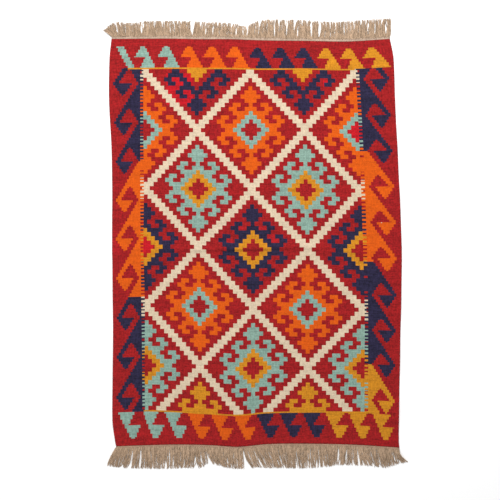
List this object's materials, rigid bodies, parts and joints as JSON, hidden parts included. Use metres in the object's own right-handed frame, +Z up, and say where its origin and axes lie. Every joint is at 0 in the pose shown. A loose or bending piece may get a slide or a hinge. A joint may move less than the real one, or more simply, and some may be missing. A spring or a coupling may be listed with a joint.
{
  "type": "kilim rug",
  "caption": "Flat-woven wool floor rug with a diamond field, hooked borders and an undyed warp fringe at both ends, lying flat.",
  "frame": {"origin": "on the floor, under the middle of the whole rug with its fringes", "axes": "+Y along the warps towards the top end of the rug, +X across them, +Z up from the floor"},
  "size_m": [1.0874, 1.622, 0.0079],
  "materials": {
    "dyed_wool": "matte tapestry-woven wool",
    "undyed_warp": "matte plied yarn"
  },
  "bodies": {
    "root": {"kilim_cloth": "dyed_wool", "top_fringe": "undyed_warp", "bottom_fringe": "undyed_warp"}
  },
  "joints": []
}
